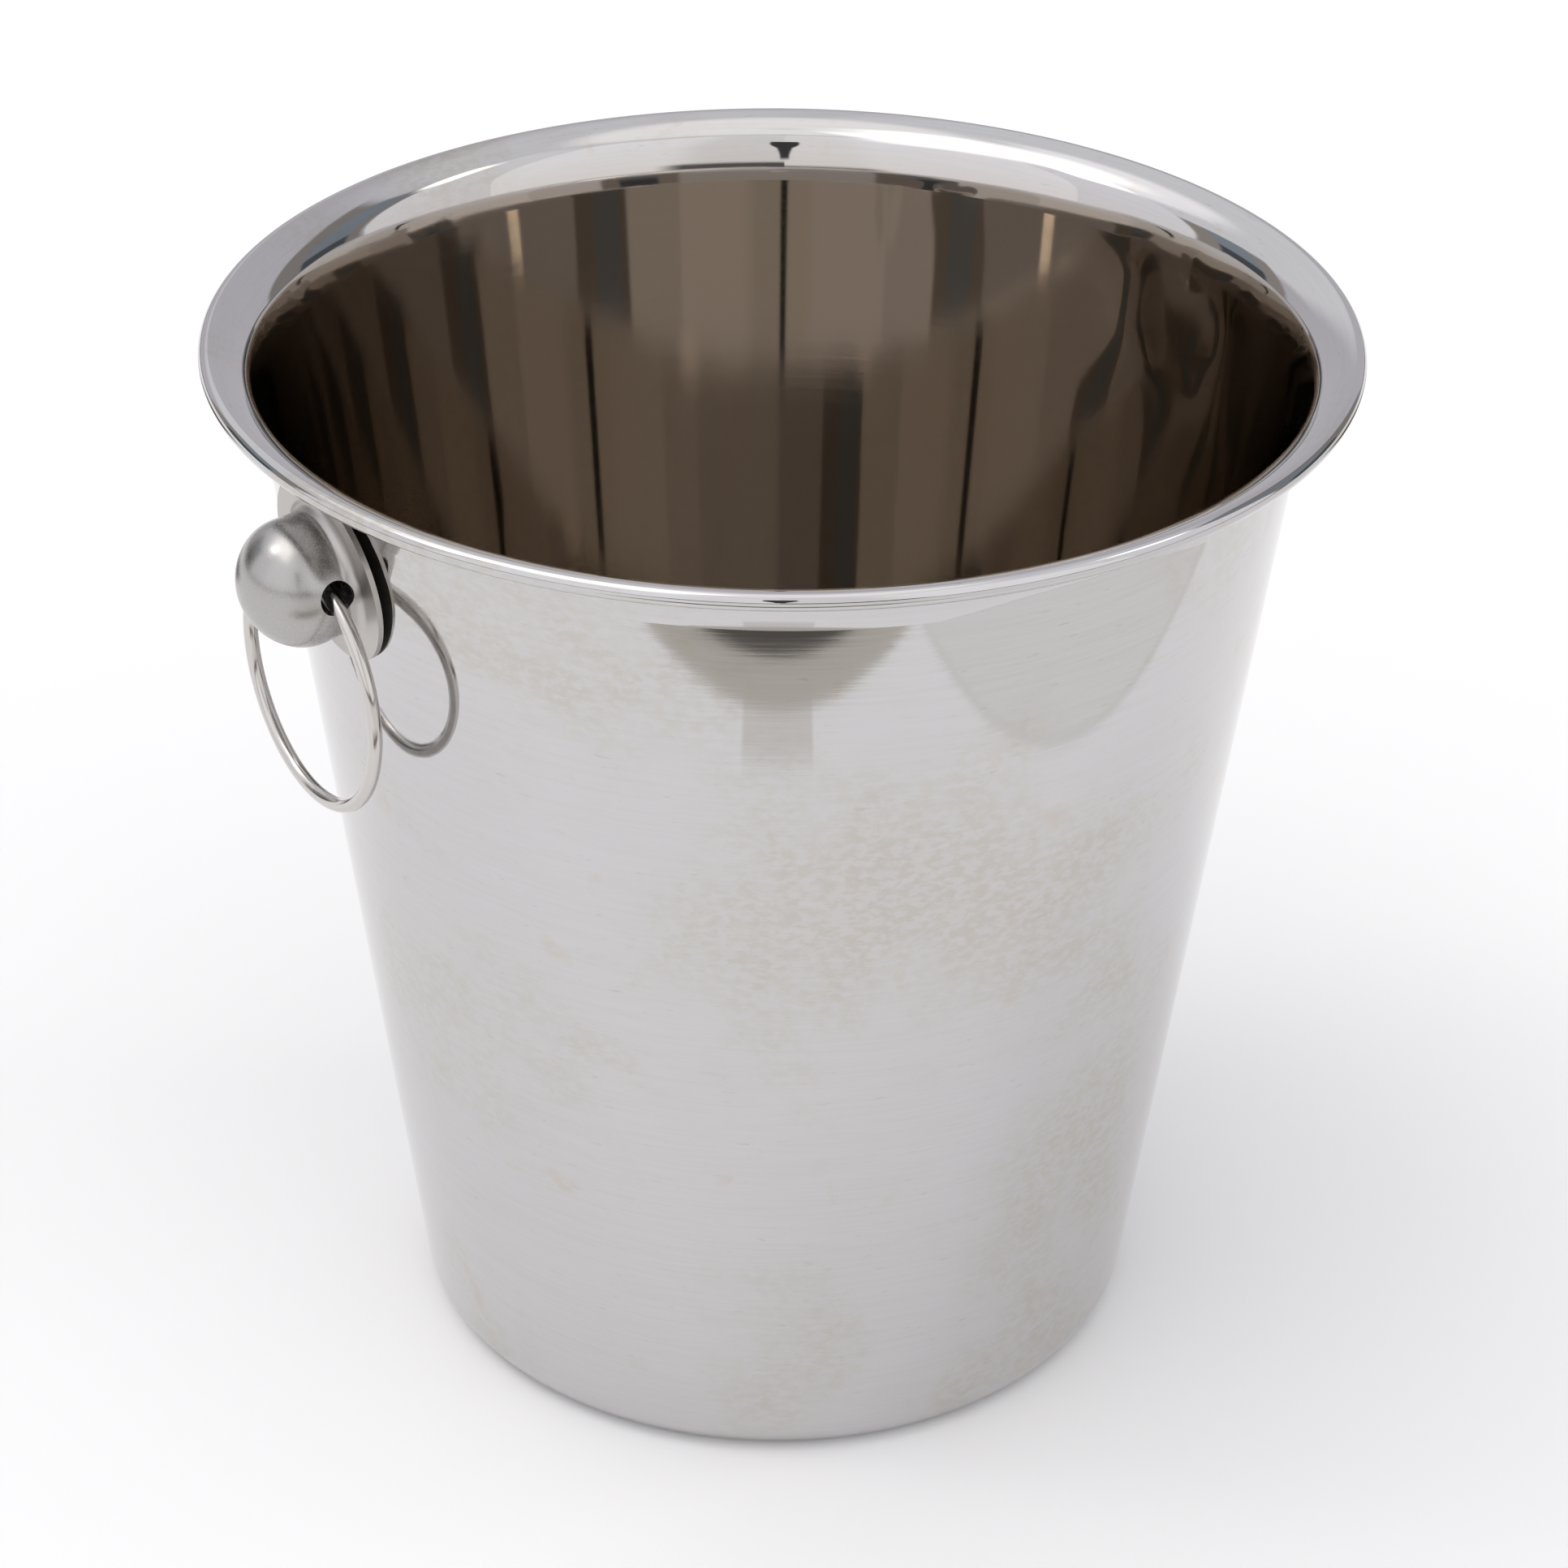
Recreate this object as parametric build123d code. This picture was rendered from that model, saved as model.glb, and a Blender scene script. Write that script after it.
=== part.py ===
from build123d import *

import math
import os

# Champagne bucket with two knob-and-ring handles, in millimetres. The origin is the centre of the base's
# underside, +Z is up along the bucket's axis, and the handles stand at +X and -X.

# ---- Bucket shell: one sheet, from the centre of the base to the rolled edge ----
SHELL_SHEET = 0.6
FOOT_RADIUS = 69.9  # where the line of the wall's outside meets the ground
WALL_DRAFT = 7.4  # degrees the wall leans outwards
CORNER_RADIUS = 6.5  # outside, between base and wall
LIP_START = 188.0  # height at which the wall leaves its straight line
LIP_BENDS = [  # upper-face radius and turn in degrees, from the wall to the rolled edge
    (99.0, 4.1),
    (21.0, 8.5),
    (6.1, 35.0),
    (15.9, 20.0),
    (1.65, 215.0),
]

# ---- Knob: a hollow stamping, open at the back, with a flat flange ----
KNOB_SHEET = 1.0
KNOB_HEIGHT = 180.3  # height at which its axis meets the line of the wall
KNOB_TILT = 8.0  # degrees its axis points below the horizontal
KNOB_STANDOFF = 0.15  # flange's back to the line of the wall, on the axis: the flange bridges the lip's flare
KNOB_LENGTH = 17.4  # flange's back to the crown
CROWN_RADIUS = 12.0
CROWN_SWEEP = 53.0  # degrees
SHOULDER_RADIUS = 9.5
NECK_TAPER = 3.0  # degrees the side narrows towards the flange
NECK_FILLET = 2.1
FLANGE_RADIUS = 17.2
HOLE_RADIUS = 3.15  # two side holes in line, for the ring
HOLE_RISE = 1.0  # hole centre above the knob's axis
HOLE_DEPTH = 5.1  # hole centre in front of the flange's back

# ---- Ring: closed wire through both side holes of its knob ----
RING_RADIUS = 22.7  # to the middle of the wire
WIRE_RADIUS = 1.3
PIVOT_DROP = 1.3  # where the wire crosses the knob's side, below the hole's centre
PIVOT_HALF_SPAN = 10.8  # from the knob's axis to that crossing

SIDES = {"right": 0.0, "left": 180.0}  # handle name and its turn about the bucket's axis


def heading(angle):
    """Unit vector at an angle in degrees, in the plane of a section."""
    return Vector(math.cos(math.radians(angle)), math.sin(math.radians(angle)))


def face_edges(point, angle, steps, depth):
    """Edges of one face of a bent sheet, and the face's end.

    A step is (length, 0) for a flat or (radius, turn) for a bend, with left turns positive. The steps
    describe the upper face, and depth is how far to its right the wanted face lies.
    """
    edges = []
    point = point + heading(angle - 90) * depth
    for size, turn in steps:
        if turn == 0:
            end = point + heading(angle) * size
            edges.append(Line(point, end))
        else:
            side = math.copysign(1, turn)
            radius = size + side * depth
            centre = point + heading(angle + side * 90) * radius
            middle = centre - heading(angle + turn / 2 + side * 90) * radius
            end = centre - heading(angle + turn + side * 90) * radius
            edges.append(ThreePointArc(point, middle, end))
        point = end
        angle += turn
    return edges, point


def spun_sheet(start, steps, sheet):
    """Solid of revolution about Z of a bent sheet that sets out radially from its axis."""
    upper, upper_end = face_edges(start, 0, steps, 0)
    lower, lower_end = face_edges(start, 0, steps, sheet)
    caps = [Line(upper[0] @ 0, lower[0] @ 0), Line(upper_end, lower_end)]
    section = make_face(upper + lower + caps)
    return revolve(Plane.XZ * section, Axis.Z)


def wall_line(height):
    """Radius of the wall's outside, on its straight line."""
    return FOOT_RADIUS + height * math.tan(math.radians(WALL_DRAFT))


def bucket_shell():
    """Base, corner, wall, flared lip and rolled edge, in one sheet."""
    draft = math.radians(WALL_DRAFT)
    base_flat = FOOT_RADIUS - CORNER_RADIUS * (1 - math.sin(draft)) / math.cos(draft)
    corner_top = CORNER_RADIUS * (1 - math.sin(draft))
    wall_length = (LIP_START - corner_top) / math.cos(draft)
    steps = [(base_flat, 0), (CORNER_RADIUS - SHELL_SHEET, 90 - WALL_DRAFT), (wall_length, 0)]
    steps += [(radius, -turn) for radius, turn in LIP_BENDS]
    return spun_sheet(Vector(0, SHELL_SHEET), steps, SHELL_SHEET)


def knob():
    """Knob along +Z, its flange's back on the XY plane and its top towards -X."""
    shoulder_sweep = 90 + NECK_TAPER - CROWN_SWEEP
    sweep = math.radians(CROWN_SWEEP)
    taper = math.radians(NECK_TAPER)
    crown_drop = CROWN_RADIUS * (1 - math.cos(sweep))
    shoulder_drop = SHOULDER_RADIUS * (math.cos(sweep) + math.sin(taper))
    fillet_drop = NECK_FILLET * (1 + math.sin(taper))
    neck_drop = KNOB_LENGTH - KNOB_SHEET - crown_drop - shoulder_drop - fillet_drop
    neck_length = neck_drop / math.cos(taper)
    steps = [
        (CROWN_RADIUS, -CROWN_SWEEP),
        (SHOULDER_RADIUS, -shoulder_sweep),
        (neck_length, 0),
        (NECK_FILLET, 90 + NECK_TAPER),
    ]
    crown = Vector(0, KNOB_LENGTH)
    flange_start = face_edges(crown, 0, steps, 0)[1]
    steps.append((FLANGE_RADIUS - flange_start.X, 0))
    hole = Pos(-HOLE_RISE, 0, HOLE_DEPTH) * Rot(90, 0, 0) * Cylinder(HOLE_RADIUS, 2 * FLANGE_RADIUS)
    return spun_sheet(crown, steps, KNOB_SHEET) - hole


def knob_place():
    """Place of the knob at +X: its flange's back, against the wall."""
    outwards = Vector(math.cos(math.radians(KNOB_TILT)), 0, -math.sin(math.radians(KNOB_TILT)))
    seat = Vector(wall_line(KNOB_HEIGHT), 0, KNOB_HEIGHT) + outwards * KNOB_STANDOFF
    return Location(seat, (0, 90 + KNOB_TILT, 0))


def pivot():
    """Middle of the axis about which the ring at +X swings."""
    hole_centre = (knob_place() * Location((-HOLE_RISE, 0, HOLE_DEPTH))).position
    return hole_centre - Vector(0, 0, PIVOT_DROP)


def ring():
    """Ring at +X, hanging straight down from its pivot."""
    hang = math.sqrt(RING_RADIUS**2 - PIVOT_HALF_SPAN**2)
    centre = pivot() - Vector(0, 0, hang)
    return Location(centre, (0, 90, 0)) * Torus(RING_RADIUS, WIRE_RADIUS)


os.makedirs("parts", exist_ok=True)
export_step(bucket_shell(), "parts/bucket_shell.step")
for side, turn in SIDES.items():
    export_step(Rot(0, 0, turn) * knob_place() * knob(), f"parts/knob_{side}.step")
    export_step(Rot(0, 0, turn) * ring(), f"parts/ring_{side}.step")
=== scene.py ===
"""Looks of the champagne bucket: spun sheet steel with fine brushing, satin knobs and bright wire rings."""

import math

import bpy
import numpy as np
from mathutils import Matrix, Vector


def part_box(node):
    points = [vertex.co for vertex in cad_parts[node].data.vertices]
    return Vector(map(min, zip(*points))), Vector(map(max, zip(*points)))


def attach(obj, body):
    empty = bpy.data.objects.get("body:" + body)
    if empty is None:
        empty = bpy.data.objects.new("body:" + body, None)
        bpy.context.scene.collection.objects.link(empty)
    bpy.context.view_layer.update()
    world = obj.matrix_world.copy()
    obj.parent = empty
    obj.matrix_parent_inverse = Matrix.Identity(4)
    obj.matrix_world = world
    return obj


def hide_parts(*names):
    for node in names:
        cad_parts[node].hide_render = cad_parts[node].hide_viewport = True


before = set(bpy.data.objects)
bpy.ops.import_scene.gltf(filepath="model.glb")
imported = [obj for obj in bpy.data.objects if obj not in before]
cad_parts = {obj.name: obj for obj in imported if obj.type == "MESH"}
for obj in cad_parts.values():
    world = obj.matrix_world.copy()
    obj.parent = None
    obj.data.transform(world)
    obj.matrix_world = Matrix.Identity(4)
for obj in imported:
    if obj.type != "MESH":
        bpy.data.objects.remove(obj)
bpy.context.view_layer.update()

MM = 0.001

# ---- Shell section: one bent sheet, in millimetres and degrees ----
# It is the CAD's, apart from two things. LIP_FLAT and the lip's first bend stand for the CAD's first two
# bends (99 and 21 mm), between the same ends. The rolled edge is 0.01 mm tighter, which keeps the mesh
# inside the CAD's box.
SHEET = 0.6
FOOT_RADIUS = 69.9
WALL_DRAFT = 7.4
CORNER_RADIUS = 6.5
LIP_START = 188.0
LIP_FLAT = 3.765
LIP_BENDS = [(29.27, 12.6), (6.1, 35.0), (15.9, 20.0), (1.64, 215.0)]
BEND_STEP = 6.0  # of a bend, between two rows of the mesh, at most
FLAT_STEP = 3.0  # of a flat, between two rows, on average: they lie closer towards its ends
SHELL_SIDES = 336
SHARP_ANGLE = math.radians(40)  # edges of the mesh that bend more than this are not smoothed

# ---- Shallow unevenness of the shell's wall, in millimetres ----
WALL_SINE = 0.9  # the sheet counts as wall where the sine of its slope is larger
EVEN_BELOW = 20.0  # the unevenness starts at this height
EVEN_BELOW_FADE = 40.0  # and has its full depth this much higher
EVEN_ABOVE = 198.0  # it ends at this height
EVEN_ABOVE_FADE = 12.0  # and has its full depth this much lower
KNOB_HEIGHT = 180.3
KNOB_TILT = 8.0  # degrees its axis points below the horizontal
WELDS = [(0.0, 10.5), (-8.5, -8.0), (8.5, -8.0)]  # dents inside, across and above each knob's axis: guessed
WELD_DEPTH = 0.15
WELD_WIDTH = 3.2
PUCKER_DEPTH = 0.15  # the sheet draws in a little between the welds
PUCKER_WIDTH = 13.0
PUCKER_RIPPLE = 2.2  # how soon the pucker gives way to a slight swelling round it
WAVE_DEPTH = 0.021  # long waves left by the spinning
WAVES = [(2, 0.6, 70.0, 1.0), (5, 2.0, -45.0, 0.5)]  # count, phase, rise for each radian of turn, and share
PULL_DEPTH = 0.5  # the welded sheet flattens against the flange, outwards at both of its sides
PULL_ACROSS = 15.0
PULL_WIDTH = 6.5
PULL_HEIGHT = 15.0

# ---- Camera, at the photograph's viewing angle; metres and radians ----
VIEW_AZIMUTH = math.radians(-34.0)  # of the line of sight about the bucket's axis, from +Y
CAMERA_DISTANCE = 0.71105  # from the axis, along the floor
CAMERA_HEIGHT = 0.52734
CAMERA_YAW = 0.0015
CAMERA_PITCH = 0.5343
CAMERA_ROLL = 0.0104
CAMERA_LENS = 98.76
CAMERA_SENSOR = 36.0
CAMERA_CLIP = 0.01

GLOSSY_BOUNCES = 12  # the inside is seen through up to ten reflections

# ---- Studio, as the object sees it. Azimuth 0 is straight ahead of the camera and + is to its right ----
SKY_BACKDROP = (0.62, 0.61, 0.65)
# Painted in turn: azimuth and elevation, each as (low, high, softness) in degrees, and colour
SKY_PATCHES = [
    ((-180, -3, 5), (23, 90, 4), (0.88, 0.88, 0.91)),  # the backdrop is brighter above
    ((-3, 180, 5), (49, 90, 9), (0.84, 0.84, 0.87)),
    ((-112, -79, 0.6), (-90, 65, 3), (1.00, 0.99, 1.04)),  # left panel
    ((-179.3, -112, 0.6), (-90, 65, 3), (1.15, 1.14, 1.18)),
    ((77, 112, 0.6), (-90, 65, 3), (0.97, 0.96, 0.99)),  # right panel
    ((112, 179.3, 0.6), (-90, 65, 3), (1.15, 1.14, 1.16)),
    ((-190, -162, 5), (-90, 65, 3), (1.08, 1.07, 1.07)),  # dimmer beside the camera
    ((158, 190, 6), (-90, 65, 3), (0.98, 0.97, 0.97)),
    ((-90, -32, 5), (43, 66, 4), (1.30, 1.29, 1.31)),
    ((-190, 190, 5), (69.5, 90, 3.5), (1.24, 1.22, 1.21)),  # ceiling
    ((-150, -50, 10), (54, 82, 6), (2.20, 2.17, 2.13)),
    ((-190, -158, 4), (-90, 3.5, 1), (0.13, 0.12, 0.12)),  # dark room under the lights
    ((154, 190, 4), (-90, 6.5, 1), (0.13, 0.12, 0.12)),
    ((-190, 190, 5), (-90, 1.5, 0.8), (0.13, 0.12, 0.12)),
    ((39, 76, 1.5), (-90, 46, 2), (0.29, 0.27, 0.26)),  # gap between backdrop and right panel
    ((54, 71, 1), (-90, 46, 2), (0.25, 0.29, 0.34)),
    ((54, 71, 1), (-90, 13, 1.5), (0.09, 0.10, 0.11)),
    ((-79, -45, 1.5), (-90, 28.5, 1.5), (0.36, 0.33, 0.31)),  # gap between backdrop and left panel
    ((-71, -54, 1), (-90, 28.5, 1.5), (0.29, 0.33, 0.38)),
    ((-71, -54, 1), (-90, 13, 1.5), (0.09, 0.10, 0.11)),
    ((-98, -80, 4), (46, 58, 4), (5.0, 4.9, 4.8)),  # lamps
    ((72, 84, 4), (46, 56, 4), (4.0, 3.9, 3.8)),
]
LOW_LAMP = ((-6, 1.5, 1.0), (15.0, 16.6, 0.4), (3.4, 3.2, 2.8))
LOW_LAMP_DEPTH = (2.2, 2.8)  # bounces before it shows: it makes glints deep inside the bucket only
CAMERA_DARK = (0.06, 0.06, 0.06)
CAMERA_WEDGE = (10.0, 34.0, 1.1, 3.6)  # two elevations, and half the camera's width at each
CAMERA_SPAN = (9.0, 41.0, 1.5)  # its lowest and highest elevation, and softness
CAMERA_BEHIND = (179.8, 180.4)  # its sides fade between these azimuths, less half its width
SKY_PLAIN = (1.0, 1.0, 1.0)  # what the camera sees beyond the floor

# ---- Floor, in metres from the axis: x is to the camera's right, y away from it and front towards it ----
# Painted shade and painted reflections: for glossy rays only, the floor glows in the darker colours below,
# as the table's edges, the dark beyond them, the shade at the camera's column and dark corners.
FLOOR_PALE = (0.95, 0.95, 0.95)
FLOOR_REACH = 6.0
FLOOR_DROP = 0.1 * MM  # below the bucket's base
EDGE_SOFT = 0.002
TABLE_FRONT = 0.270  # front of the table's front edge
FRONT_FADE = (0.36, 0.50)  # the edge's shade fades out between these
FRONT_SIDES = (0.16, 0.20)  # and between these at both sides
TABLE_DROP = 0.2895  # front of the darkness beyond that edge
DROP_FADE = (0.31, 0.38)
DROP_SIDES = (0.10, 0.13)
TABLE_RIGHT = 0.256  # from the axis to the table's edge on the right
RIGHT_FACING = (0.86, 0.51)  # outwards from that edge, as x and front
RIGHT_FADE = 0.003
RIGHT_LINE = 0.004  # width of the line along it
COLUMN_SIDES = (-0.033, 0.031, EDGE_SOFT)  # painted shade at the foot of the camera's column: low, high and softness, in x
COLUMN_ENDS = (0.255, 0.35, 0.006)  # and in front
CORNER_SIDES = (0.30, 0.60, 0.05)  # painted shade: dark corners behind the bucket, on both sides
CORNER_ENDS = (0.26, 0.50, 0.04)  # in y
COLUMN_SHARE = 0.8
RIGHT_SHARE = 0.5
RIGHT_LINE_SHARE = 0.85
SHADE_GREY = (0.80, 0.78, 0.76)
SHADE_TAN = (0.62, 0.585, 0.53)
SHADE_DARK = (0.11, 0.10, 0.09)

# ---- Materials ----
# Scales of drawn-out noise: per metre round the bucket, and per millimetre along its section
FINE_SCALES = (50.0, 1.5)
BROAD_SCALES = (9.0, 0.16)
MOTTLE_SCALES = (420.0, 0.7)
DASH_SCALES = (230.0, 1.3)
WIRE_SCALES = (2600.0, 18.0)  # both per metre: across the wire, and upwards
SHELL_PLAIN = (0.6, 0.588, 0.58)
SHELL_OUTSIDE = (0.590, 0.583, 0.587)
# The inside's colour is painted warm shade: a darker, warmer copy of the outside's steel colour.
SHELL_INSIDE_SHADE = (0.540, 0.494, 0.445)
SHELL_STREAK = (0.50, 0.485, 0.47)
SHELL_STAIN = (0.525, 0.50, 0.46)
SHELL_DROP = (0.55, 0.50, 0.44)
SHELL_DASH = (0.47, 0.44, 0.41)
INSIDE_SHADE_FROM = -1.5  # the inside's painted warm shade fades out between these, in millimetres past the lip's start
INSIDE_SHADE_TO = 10.5
INSIDE_SHADE_MARKS = 0.35  # share of the outside's marks that is left where the inside has its painted warm shade
STAIN_ROUGHNESS = 0.03
KNOB_PLAIN = (0.46, 0.45, 0.44)
KNOB_DOME = (0.44, 0.43, 0.42)
KNOB_CLOUD = (0.40, 0.37, 0.34)
KNOB_FLANGE = (0.52, 0.50, 0.475)
FLANGE_FROM = 1.3 * MM  # out from the wall, along the knob's axis: all flange up to here
FLANGE_TO = 3.5 * MM  # and all dome from here
FLANGE_ROUGHNESS = 0.12
RING_PLAIN = (0.6, 0.585, 0.57)
RING_WIRE = (0.61, 0.59, 0.57)
RING_STREAK = (0.50, 0.47, 0.43)
ACROSS_BRUSHING = 0.25  # a quarter turn of the anisotropy


# ---- Node helpers ----
def link(tree, value, socket):
    """Feeds a socket from another socket, or sets its value."""
    if isinstance(value, bpy.types.NodeSocket):
        tree.links.new(value, socket)
    elif socket.type == "RGBA":
        socket.default_value = (*value, 1.0)
    else:
        socket.default_value = value


def calc(tree, operation, *values):
    """A Math node's result."""
    node = tree.nodes.new("ShaderNodeMath")
    node.operation = operation
    for value, socket in zip(values, node.inputs):
        link(tree, value, socket)
    return node.outputs[0]


def times(tree, first, second):
    """The product of two values."""
    return calc(tree, "MULTIPLY", first, second)


def greater(tree, *values):
    """The greatest of several values."""
    most = values[0]
    for value in values[1:]:
        most = calc(tree, "MAXIMUM", most, value)
    return most


def ramp(tree, value, low, high, start=0.0, end=1.0):
    """A smooth step from start, at low, to end, at high."""
    node = tree.nodes.new("ShaderNodeMapRange")
    node.interpolation_type = "SMOOTHSTEP"
    for number, socket in zip((value, low, high, start, end), node.inputs):
        link(tree, number, socket)
    return node.outputs[0]


def faded(tree, value, low, high):
    """A smooth step from 1, at low, to 0, at high."""
    return ramp(tree, value, low, high, 1.0, 0.0)


def band(tree, value, low, high, soft):
    """1 between low and high and 0 outside, with edges of that softness."""
    rise = ramp(tree, value, low - soft, low + soft)
    fall = faded(tree, value, high - soft, high + soft)
    return times(tree, rise, fall)


def mixed(tree, share, first, second):
    """Colour mix: first where share is 0, second where it is 1."""
    node = tree.nodes.new("ShaderNodeMix")
    node.data_type = "RGBA"
    link(tree, share, node.inputs[0])
    link(tree, first, node.inputs[6])
    link(tree, second, node.inputs[7])
    return node.outputs[2]


def vector(tree, x, y, z):
    """A vector of three values."""
    node = tree.nodes.new("ShaderNodeCombineXYZ")
    for value, socket in zip((x, y, z), node.inputs):
        link(tree, value, socket)
    return node.outputs[0]


def stretched(tree, x, y, along, scales):
    """A place for noise with one scale for x and y and another for along."""
    sideways, lengthways = scales
    return vector(tree, times(tree, x, sideways), times(tree, y, sideways), times(tree, along, lengthways))


def parts_of(tree, value):
    """The x, y and z of a vector."""
    node = tree.nodes.new("ShaderNodeSeparateXYZ")
    tree.links.new(value, node.inputs[0])
    return node.outputs


def noise(tree, place, scale=1.0, detail=2.0, roughness=0.5, distortion=0.0):
    """Noise from 0 to 1 at a place given as a vector."""
    node = tree.nodes.new("ShaderNodeTexNoise")
    tree.links.new(place, node.inputs["Vector"])
    node.inputs["Scale"].default_value = scale
    node.inputs["Detail"].default_value = detail
    node.inputs["Roughness"].default_value = roughness
    node.inputs["Distortion"].default_value = distortion
    return node.outputs["Fac"]


def bump(tree, height, distance, under=None):
    """A normal raised by height times distance, in metres, on top of another normal."""
    node = tree.nodes.new("ShaderNodeBump")
    node.inputs["Distance"].default_value = distance
    tree.links.new(height, node.inputs["Height"])
    if under is not None:
        tree.links.new(under, node.inputs["Normal"])
    return node.outputs["Normal"]


def node_tree(block):
    """An empty node tree on a material or world."""
    block.use_nodes = True
    block.node_tree.nodes.clear()
    return block.node_tree


# ---- Studio ----
def studio_axes(tree, place):
    """x to the right and y away from the photograph's camera, with z up, of a vector socket."""
    turn = tree.nodes.new("ShaderNodeVectorRotate")
    turn.rotation_type = "Z_AXIS"
    turn.inputs["Angle"].default_value = -VIEW_AZIMUTH
    tree.links.new(place, turn.inputs["Vector"])
    return parts_of(tree, turn.outputs[0])


def camera_shape(tree, side, elevation):
    """The camera and its column seen from the object: thin below, and wider at the camera."""
    half_width = ramp(tree, elevation, *CAMERA_WEDGE)
    reach = calc(tree, "ADD", side, half_width)
    return times(tree, ramp(tree, reach, *CAMERA_BEHIND), band(tree, elevation, *CAMERA_SPAN))


def studio_sky(tree):
    """White panels at the sides and overhead, a grey backdrop, dim gaps between and a dark room below."""
    coordinates = tree.nodes.new("ShaderNodeTexCoord")
    x, y, z = studio_axes(tree, coordinates.outputs["Generated"])
    azimuth = calc(tree, "DEGREES", calc(tree, "ARCTAN2", x, y))
    elevation = calc(tree, "DEGREES", calc(tree, "ARCSINE", z))
    sky = SKY_BACKDROP
    for sideways, upwards, colour in SKY_PATCHES:
        patch = times(tree, band(tree, azimuth, *sideways), band(tree, elevation, *upwards))
        sky = mixed(tree, patch, sky, colour)
    sideways, upwards, colour = LOW_LAMP
    lamp = times(tree, band(tree, azimuth, *sideways), band(tree, elevation, *upwards))
    bounces = tree.nodes.new("ShaderNodeLightPath").outputs["Ray Depth"]
    sky = mixed(tree, times(tree, lamp, ramp(tree, bounces, *LOW_LAMP_DEPTH)), sky, colour)
    side = calc(tree, "ABSOLUTE", azimuth)
    return mixed(tree, camera_shape(tree, side, elevation), sky, CAMERA_DARK)


def studio_world():
    """The studio as the object sees it; the camera itself sees plain white beyond the floor."""
    world = bpy.data.worlds.new("studio")
    tree = node_tree(world)
    around = tree.nodes.new("ShaderNodeBackground")
    tree.links.new(studio_sky(tree), around.inputs["Color"])
    plain = tree.nodes.new("ShaderNodeBackground")
    plain.inputs["Color"].default_value = (*SKY_PLAIN, 1.0)
    path = tree.nodes.new("ShaderNodeLightPath")
    both = tree.nodes.new("ShaderNodeMixShader")
    tree.links.new(path.outputs["Is Camera Ray"], both.inputs[0])
    tree.links.new(around.outputs[0], both.inputs[1])
    tree.links.new(plain.outputs[0], both.inputs[2])
    output = tree.nodes.new("ShaderNodeOutputWorld")
    tree.links.new(both.outputs[0], output.inputs["Surface"])
    bpy.context.scene.world = world


def table_part(tree, front, width, edge, fade, sides):
    """1 in front of an edge of the table, as far as its fades to the front and at the sides."""
    ahead = times(tree, ramp(tree, front, edge, edge + EDGE_SOFT), faded(tree, front, *fade))
    return times(tree, ahead, faded(tree, width, *sides))


def floor_shade(tree, x, y):
    """Share and colour of the painted shade that the object sees instead of the pale floor, at a place on
    it.
    """
    width = calc(tree, "ABSOLUTE", x)
    front = times(tree, y, -1.0)
    facing_x, facing_front = RIGHT_FACING
    to_right = calc(tree, "ADD", times(tree, x, facing_x), times(tree, front, facing_front))
    right = ramp(tree, to_right, TABLE_RIGHT, TABLE_RIGHT + RIGHT_FADE)
    right_line = band(tree, to_right, TABLE_RIGHT, TABLE_RIGHT + RIGHT_LINE, EDGE_SOFT)
    column = times(tree, band(tree, x, *COLUMN_SIDES), band(tree, front, *COLUMN_ENDS))
    corner = times(tree, band(tree, y, *CORNER_ENDS), band(tree, width, *CORNER_SIDES))
    edge = table_part(tree, front, width, TABLE_FRONT, FRONT_FADE, FRONT_SIDES)
    drop = table_part(tree, front, width, TABLE_DROP, DROP_FADE, DROP_SIDES)
    colour = mixed(tree, edge, SHADE_GREY, SHADE_TAN)
    colour = mixed(tree, greater(tree, drop, corner), colour, SHADE_DARK)
    faint = greater(tree, times(tree, column, COLUMN_SHARE), times(tree, right, RIGHT_SHARE))
    share = greater(tree, corner, edge, faint, times(tree, right_line, RIGHT_LINE_SHARE))
    return share, colour


def floor_material():
    """Plain pale floor. In reflections only, it glows with painted shade and painted reflections: the
    table's edges, the dark beyond them, the shade at the camera's column and some dark corners.
    """
    material = bpy.data.materials.new("floor_pale_painted_shade")
    tree = node_tree(material)
    pale = tree.nodes.new("ShaderNodeBsdfDiffuse")
    pale.inputs["Color"].default_value = (*FLOOR_PALE, 1.0)
    geometry = tree.nodes.new("ShaderNodeNewGeometry")
    x, y, _ = studio_axes(tree, geometry.outputs["Position"])
    share, colour = floor_shade(tree, x, y)
    painted_shade = tree.nodes.new("ShaderNodeEmission")
    tree.links.new(colour, painted_shade.inputs["Color"])
    path = tree.nodes.new("ShaderNodeLightPath")
    both = tree.nodes.new("ShaderNodeMixShader")
    link(tree, times(tree, share, path.outputs["Is Glossy Ray"]), both.inputs[0])
    tree.links.new(pale.outputs[0], both.inputs[1])
    tree.links.new(painted_shade.outputs[0], both.inputs[2])
    output = tree.nodes.new("ShaderNodeOutputMaterial")
    tree.links.new(both.outputs[0], output.inputs["Surface"])
    return material


def studio_floor():
    """A pale floor just under the bucket."""
    corners = [(x * FLOOR_REACH, y * FLOOR_REACH, 0) for x, y in ((-1, -1), (1, -1), (1, 1), (-1, 1))]
    mesh = bpy.data.meshes.new("floor")
    mesh.from_pydata(corners, [], [(0, 1, 2, 3)])
    mesh.materials.append(floor_material())
    floor = bpy.data.objects.new("floor", mesh)
    floor.location.z = -FLOOR_DROP
    bpy.context.scene.collection.objects.link(floor)


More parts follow.
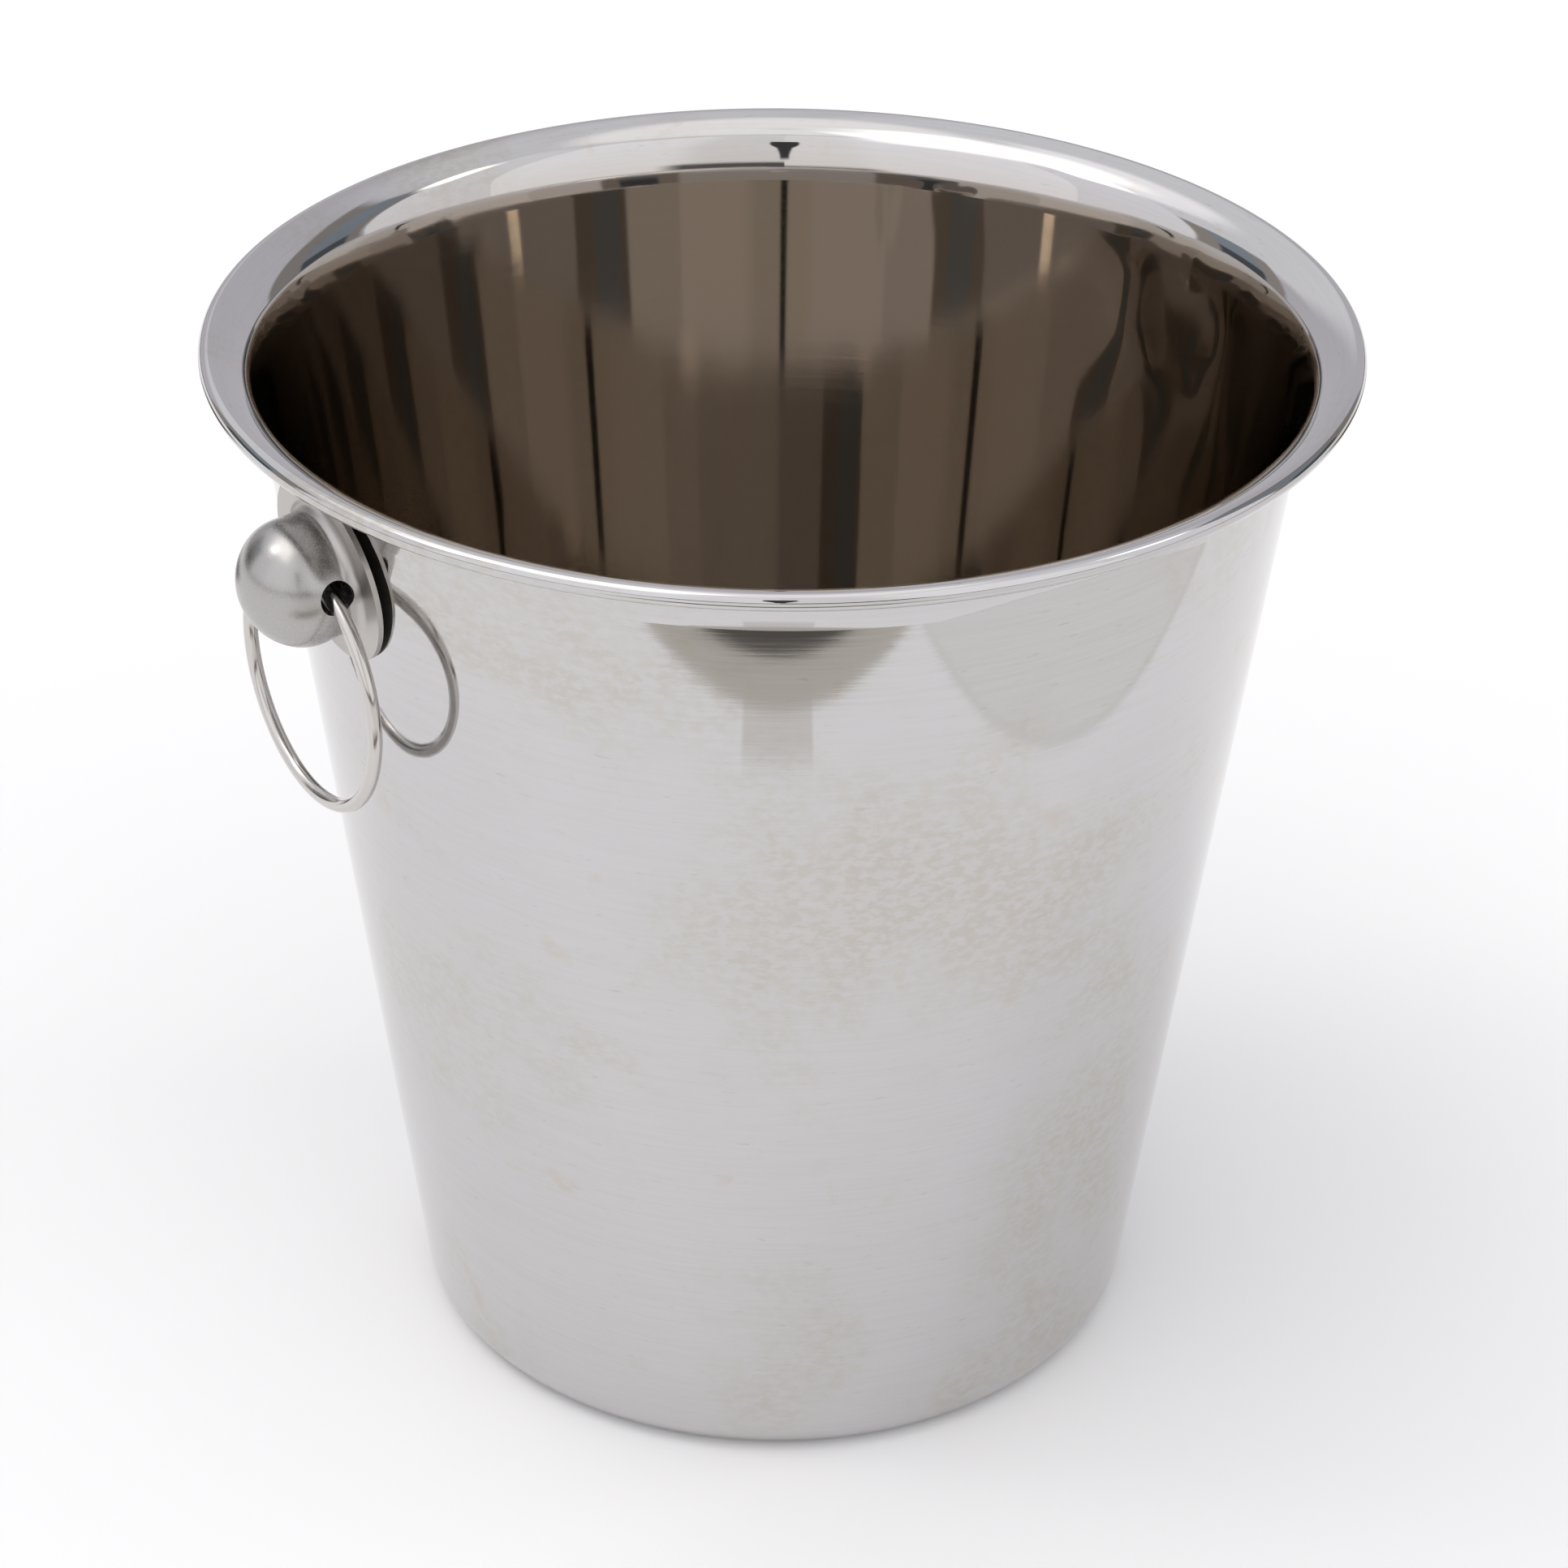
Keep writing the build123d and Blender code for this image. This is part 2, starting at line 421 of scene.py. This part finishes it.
def studio_camera():
    """The camera, at the photograph's viewing angle."""
    data = bpy.data.cameras.new("camera")
    data.lens = CAMERA_LENS
    data.sensor_width = CAMERA_SENSOR
    data.clip_start = CAMERA_CLIP
    camera = bpy.data.objects.new("camera", data)
    bpy.context.scene.collection.objects.link(camera)
    place = Matrix.Translation((0.0, -CAMERA_DISTANCE, CAMERA_HEIGHT))
    heading = Matrix.Rotation(-CAMERA_YAW, 4, "Z")
    tilt = Matrix.Rotation(math.pi / 2 - CAMERA_PITCH, 4, "X")
    roll = Matrix.Rotation(CAMERA_ROLL, 4, "Z")
    camera.matrix_world = Matrix.Rotation(VIEW_AZIMUTH, 4, "Z") @ place @ heading @ tilt @ roll
    bpy.context.scene.camera = camera


# ---- Shell ----
def section_steps():
    """The inner face from the middle of the base to the rolled edge: (length, 0) or (radius, turn)."""
    draft = math.radians(WALL_DRAFT)
    base_flat = FOOT_RADIUS - CORNER_RADIUS * (1 - math.sin(draft)) / math.cos(draft)
    corner_top = CORNER_RADIUS * (1 - math.sin(draft))
    wall_length = (LIP_START - corner_top) / math.cos(draft) + LIP_FLAT
    steps = [(base_flat, 0.0), (CORNER_RADIUS - SHEET, 90.0 - WALL_DRAFT), (wall_length, 0.0)]
    return steps + [(radius, -turn) for radius, turn in LIP_BENDS]


def section_rows():
    """Rows along the inner face: radius, height, heading in radians, and distance from the middle."""
    r, z, angle, along = 0.0, SHEET, 0.0, 0.0
    rows = [(r, z, angle, along)]
    for size, turn in section_steps():
        bend = math.radians(turn)
        length = size * abs(bend) if turn else size
        count = math.ceil(abs(turn) / BEND_STEP) if turn else math.ceil(size / FLAT_STEP)
        for k in range(1, count + 1):
            share = k / count if turn else (1 - math.cos(math.pi * k / count)) / 2
            turned = angle + bend * share
            if turn:
                side = math.copysign(size, bend)
                outwards = (math.sin(turned) - math.sin(angle)) * side
                upwards = (math.cos(angle) - math.cos(turned)) * side
            else:
                outwards = math.cos(angle) * size * share
                upwards = math.sin(angle) * size * share
            rows.append((r + outwards, z + upwards, turned, along + length * share))
        r, z, angle, along = rows[-1]
    return rows


def lip_start_along():
    """Distance along the sheet, from the middle of the base, to the lip's first bend."""
    flats_and_corner = section_steps()[: -len(LIP_BENDS)]
    return sum(size * math.radians(turn) if turn else size for size, turn in flats_and_corner)


def unevenness(azimuth, height, inside):
    """How far the wall stands towards the axis, in millimetres, at an azimuth in radians and a height."""
    radius = FOOT_RADIUS + height * math.tan(math.radians(WALL_DRAFT))
    above_foot = np.clip((height - EVEN_BELOW) / EVEN_BELOW_FADE, 0, 1)
    rise = above_foot * np.clip((EVEN_ABOVE - height) / EVEN_ABOVE_FADE, 0, 1)
    waves = 0.0
    for count, phase, climb, share in WAVES:
        waves = waves + share * np.sin(count * azimuth + phase + height / climb)
    depth = WAVE_DEPTH * rise * waves
    across = (np.mod(azimuth + math.pi / 2, math.pi) - math.pi / 2) * radius
    above = height - KNOB_HEIGHT
    spread = (across**2 + above**2) / PUCKER_WIDTH**2
    depth = depth + PUCKER_DEPTH * rise * np.exp(-spread) * np.cos(spread * PUCKER_RIPPLE)
    pull = np.exp(-(((np.abs(across) - PULL_ACROSS) / PULL_WIDTH) ** 2) - (above / PULL_HEIGHT) ** 2)
    depth = depth - PULL_DEPTH * rise * pull
    if inside:
        for weld_across, weld_above in WELDS:
            spot = ((across - weld_across) ** 2 + (above - weld_above) ** 2) / WELD_WIDTH**2
            depth = depth - WELD_DEPTH * np.exp(-spot)
    return depth


def shell_face(rows, depth, inside):
    """Grid of points of one face of the sheet, that far under its inner face."""
    azimuth = np.arange(SHELL_SIDES) * 2 * math.pi / SHELL_SIDES
    grid = []
    for r, z, angle, _ in rows:
        out_r, out_z = math.sin(angle), -math.cos(angle)
        sunk = depth - unevenness(azimuth, np.full_like(azimuth, z), inside) * (out_r > WALL_SINE)
        radius = r + out_r * sunk
        grid.append(np.stack([radius * np.cos(azimuth), radius * np.sin(azimuth), z + out_z * sunk], -1))
    return np.array(grid)


def add_float(mesh, name, values):
    """Gives each of the mesh's points a number."""
    mesh.attributes.new(name, "FLOAT", "POINT").data.foreach_set("value", np.asarray(values, np.float32))


def shell_mesh():
    """The spun sheet as one closed mesh, with its distance along the section and its inside marked."""
    rows = section_rows()[1:]
    faces_in = shell_face(rows, 0.0, True)
    faces_out = shell_face(rows, SHEET, False)
    rings = np.concatenate([faces_out, faces_in[::-1]])
    ring_count = len(rings)
    points = np.concatenate([rings.reshape(-1, 3), [[0, 0, 0], [0, 0, SHEET]]]) * MM
    polygons = []
    for i in range(ring_count - 1):
        for j in range(SHELL_SIDES):
            a, b = i * SHELL_SIDES + j, i * SHELL_SIDES + (j + 1) % SHELL_SIDES
            polygons.append((a, b, b + SHELL_SIDES, a + SHELL_SIDES))
    under, upper = ring_count * SHELL_SIDES, ring_count * SHELL_SIDES + 1
    last = (ring_count - 1) * SHELL_SIDES
    for j in range(SHELL_SIDES):
        after = (j + 1) % SHELL_SIDES
        polygons.append((under, after, j))
        polygons.append((upper, last + j, last + after))
    mesh = bpy.data.meshes.new("shell")
    mesh.from_pydata(points.tolist(), [], polygons)
    along = [row[3] for row in rows]
    add_float(mesh, "along", np.append(np.repeat(along + along[::-1], SHELL_SIDES), [0, 0]))
    inside = [0.0] * len(rows) + [1.0] * len(rows)
    add_float(mesh, "inside", np.append(np.repeat(inside, SHELL_SIDES), [0, 1]))
    mesh.shade_smooth()
    mesh.set_sharp_from_angle(angle=SHARP_ANGLE)
    return mesh


def build_shell():
    """The shell, which moves with the bucket and replaces the CAD's."""
    shell = bpy.data.objects.new("shell_spun", shell_mesh())
    bpy.context.scene.collection.objects.link(shell)
    shell.data.materials.append(shell_material())
    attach(shell, "bucket")
    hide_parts("bucket_shell")


# ---- Materials ----
def metal(name, colour, roughness, axis):
    """Bare metal, brushed round an axis: the material, its tree and its shader.

    The colour and roughness are plain ones, which each material's own nodes then replace.
    """
    material = bpy.data.materials.new(name)
    tree = node_tree(material)
    shader = tree.nodes.new("ShaderNodeBsdfPrincipled")
    shader.inputs["Metallic"].default_value = 1.0
    shader.inputs["Base Color"].default_value = (*colour, 1.0)
    shader.inputs["Roughness"].default_value = roughness
    tangent = tree.nodes.new("ShaderNodeTangent")
    tangent.direction_type = "RADIAL"
    tangent.axis = axis
    tree.links.new(tangent.outputs[0], shader.inputs["Tangent"])
    output = tree.nodes.new("ShaderNodeOutputMaterial")
    tree.links.new(shader.outputs[0], output.inputs["Surface"])
    return material, tree, shader


def object_place(tree):
    """The place on the object, in metres."""
    return tree.nodes.new("ShaderNodeTexCoord").outputs["Object"]


def attribute(tree, name):
    """A number that the mesh carries at each point."""
    node = tree.nodes.new("ShaderNodeAttribute")
    node.attribute_name = name
    return node.outputs["Fac"]


def shell_material():
    """Polished steel with fine brushing round the bucket, warm stains, dried drops and small dashes, and
    painted warm shade on the inside.
    """
    material, tree, shader = metal("steel_shell", SHELL_PLAIN, 0.06, "Z")
    place = object_place(tree)
    x, y, _ = parts_of(tree, place)
    along = attribute(tree, "along")
    inside = attribute(tree, "inside")

    fine = noise(tree, stretched(tree, x, y, along, FINE_SCALES), detail=4.0, roughness=0.65)
    broad = noise(tree, stretched(tree, x, y, along, BROAD_SCALES))
    mottle = noise(tree, stretched(tree, x, y, along, MOTTLE_SCALES), detail=3.0, roughness=0.6)
    cloud = noise(tree, place, scale=15.0, detail=6.0, roughness=0.62, distortion=0.5)
    mottled = ramp(tree, mottle, low=0.38, high=0.62, start=0.25)
    stain = times(tree, ramp(tree, cloud, low=0.46, high=0.68), mottled)
    spatter = noise(tree, place, scale=75.0, detail=5.0, roughness=0.6, distortion=0.3)
    drops = ramp(tree, spatter, low=0.61, high=0.76)
    dashes = ramp(tree, noise(tree, stretched(tree, x, y, along, DASH_SCALES)), low=0.68, high=0.76)

    lip = lip_start_along()
    # painted warm shade on the inner face, fading out past the lip's start
    inside_shade = times(tree, inside, faded(tree, along, lip + INSIDE_SHADE_FROM, lip + INSIDE_SHADE_TO))
    marks = ramp(tree, inside_shade, low=0.0, high=1.0, start=1.0, end=INSIDE_SHADE_MARKS)
    body = mixed(tree, inside_shade, SHELL_OUTSIDE, SHELL_INSIDE_SHADE)
    streaked = mixed(tree, ramp(tree, fine, low=0.35, high=0.75, end=0.28), body, SHELL_STREAK)
    stained = mixed(tree, times(tree, stain, marks), streaked, SHELL_STAIN)
    dried = mixed(tree, times(tree, drops, times(tree, marks, 0.7)), stained, SHELL_DROP)
    marked = mixed(tree, times(tree, dashes, times(tree, marks, 0.5)), dried, SHELL_DASH)
    tree.links.new(marked, shader.inputs["Base Color"])
    rough = ramp(tree, fine, low=0.3, high=0.8, start=0.03, end=0.055)
    rougher = calc(tree, "ADD", rough, times(tree, stain, STAIN_ROUGHNESS))
    tree.links.new(rougher, shader.inputs["Roughness"])
    shader.inputs["Anisotropic"].default_value = 0.8
    shader.inputs["Anisotropic Rotation"].default_value = ACROSS_BRUSHING
    waves = bump(tree, broad, distance=4e-6)
    tree.links.new(bump(tree, fine, distance=1.6e-6, under=waves), shader.inputs["Normal"])
    return material


def knob_material():
    """Satin dome with a fine grain, on a rougher flange."""
    material, tree, shader = metal("steel_knob", KNOB_PLAIN, 0.25, "X")
    place = object_place(tree)
    x, _, z = parts_of(tree, place)
    wall = FOOT_RADIUS + KNOB_HEIGHT * math.tan(math.radians(WALL_DRAFT))
    out = calc(tree, "SUBTRACT", calc(tree, "ABSOLUTE", x), wall * MM)
    above = calc(tree, "SUBTRACT", z, KNOB_HEIGHT * MM)
    tilt = math.radians(KNOB_TILT)
    outwards = calc(tree, "SUBTRACT", times(tree, out, math.cos(tilt)), times(tree, above, math.sin(tilt)))
    flange = faded(tree, outwards, FLANGE_FROM, FLANGE_TO)
    grain = noise(tree, place, scale=2200.0, detail=3.0, roughness=0.6)
    cloud = noise(tree, place, scale=130.0, detail=3.0)
    dome = mixed(tree, ramp(tree, cloud, low=0.4, high=0.75, end=0.2), KNOB_DOME, KNOB_CLOUD)
    tree.links.new(mixed(tree, flange, dome, KNOB_FLANGE), shader.inputs["Base Color"])
    satin = ramp(tree, grain, low=0.3, high=0.7, start=0.24, end=0.29)
    rough = calc(tree, "ADD", satin, times(tree, flange, FLANGE_ROUGHNESS))
    tree.links.new(rough, shader.inputs["Roughness"])
    coarse = noise(tree, place, scale=1100.0, roughness=0.6)
    pitted = bump(tree, times(tree, coarse, flange), distance=25e-6)
    tree.links.new(bump(tree, grain, distance=0.4e-6, under=pitted), shader.inputs["Normal"])
    return material


def ring_material(node):
    """Bright drawn wire, with streaks along it."""
    low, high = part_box(node)
    centre = (low + high) / 2
    wire = (high.x - low.x) / 2
    radius = (high.z - low.z) / 2 - wire
    material, tree, shader = metal("steel_" + node, RING_PLAIN, 0.14, "X")
    x, y, z = parts_of(tree, object_place(tree))
    dy = calc(tree, "SUBTRACT", y, centre.y)
    dz = calc(tree, "SUBTRACT", z, centre.z)
    from_centre = calc(tree, "SQRT", calc(tree, "ADD", times(tree, dy, dy), times(tree, dz, dz)))
    out = calc(tree, "SUBTRACT", from_centre, radius)
    dx = calc(tree, "SUBTRACT", x, centre.x)
    drawn = noise(tree, stretched(tree, dx, out, dz, WIRE_SCALES), detail=3.0, roughness=0.6)
    streaks = ramp(tree, drawn, low=0.35, high=0.75, end=0.35)
    tree.links.new(mixed(tree, streaks, RING_WIRE, RING_STREAK), shader.inputs["Base Color"])
    rough = ramp(tree, drawn, low=0.3, high=0.8, start=0.12, end=0.22)
    tree.links.new(rough, shader.inputs["Roughness"])
    shader.inputs["Anisotropic"].default_value = 0.6
    shader.inputs["Anisotropic Rotation"].default_value = ACROSS_BRUSHING
    tree.links.new(bump(tree, drawn, distance=1e-6), shader.inputs["Normal"])
    return material


def dress(node, material):
    """Gives a CAD node its material."""
    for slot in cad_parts[node].material_slots:
        slot.material = material


build_shell()
knob_steel = knob_material()
for hand in ("left", "right"):
    dress("knob_" + hand, knob_steel)
    dress("ring_" + hand, ring_material("ring_" + hand))

studio_world()
studio_floor()
studio_camera()
bpy.context.scene.view_settings.view_transform = "Standard"
bpy.context.scene.cycles.glossy_bounces = GLOSSY_BOUNCES
